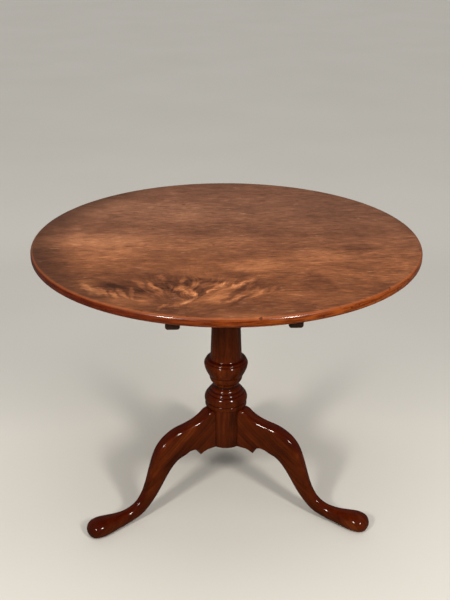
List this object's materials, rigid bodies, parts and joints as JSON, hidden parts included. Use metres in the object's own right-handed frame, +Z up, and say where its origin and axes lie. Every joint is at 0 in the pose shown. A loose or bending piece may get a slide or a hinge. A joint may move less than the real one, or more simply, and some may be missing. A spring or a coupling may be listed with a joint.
{
  "type": "tilt top table",
  "caption": "Round tilt top table on a turned pillar with cabriole legs, its board pivoting on a block and held by a sprung catch.",
  "frame": {"origin": "on the floor under the pillar's axis, the centre of the round board's plan", "axes": "+Z up; +Y towards the third leg and the catch; -Y towards the side where the two front legs stand and where the tipped board faces; the hinge axis lies along X"},
  "size_m": [0.914, 0.914, 0.71],
  "materials": {
    "top_mahogany": "waxed satin, faded red-brown with plume figure",
    "stand_mahogany": "dark polished gloss",
    "bearer_mahogany": "dark, dull, unpolished",
    "block_wood": "dark, dull, unpolished",
    "aged_brass": "tarnished satin",
    "wrought_iron": "dark, dull",
    "screw_iron": "dark, worn on the heads",
    "spring_steel": "dull bright"
  },
  "bodies": {
    "base": {"pillar": "stand_mahogany", "block": "block_wood", "tenon_wedge_front": "block_wood", "tenon_wedge_back": "block_wood", "leg_left": "stand_mahogany", "leg_right": "stand_mahogany", "leg_rear": "stand_mahogany", "tie_plate": "wrought_iron", "plate_screw_left_pillar": "screw_iron", "plate_screw_left_leg": "screw_iron", "plate_screw_right_pillar": "screw_iron", "plate_screw_right_leg": "screw_iron", "plate_screw_rear_pillar": "screw_iron", "plate_screw_rear_leg": "screw_iron", "keeper": "aged_brass", "keeper_screw_left": "screw_iron", "keeper_screw_right": "screw_iron"},
    "top": {"top_board": "top_mahogany", "bearer_left": "bearer_mahogany", "bearer_right": "bearer_mahogany", "bearer_screw_left_front": "screw_iron", "bearer_screw_left_fore": "screw_iron", "bearer_screw_left_aft": "screw_iron", "bearer_screw_left_back": "screw_iron", "bearer_screw_right_front": "screw_iron", "bearer_screw_right_fore": "screw_iron", "bearer_screw_right_aft": "screw_iron", "bearer_screw_right_back": "screw_iron", "catch_case": "aged_brass", "catch_screw_left_front": "screw_iron", "catch_screw_left_back": "screw_iron", "catch_screw_right_front": "screw_iron", "catch_screw_right_back": "screw_iron", "catch_spring": "spring_steel"},
    "catch_bolt": {"catch_bolt": "aged_brass", "catch_knob": "aged_brass"}
  },
  "joints": [
    {"name": "top_tilt", "type": "hinge", "parent": "base", "child": "top", "pos_m": [0, -0.078, 0.6727], "axis": [1, 0, 0], "range_deg": [0, 90]},
    {"name": "catch_slide", "type": "slide", "parent": "top", "child": "catch_bolt", "axis": [0, 1, 0], "range_m": [0, 0.008], "stiffness_N_per_m": 300, "springref_m": -0.012, "deforming": ["catch_spring"]}
  ]
}
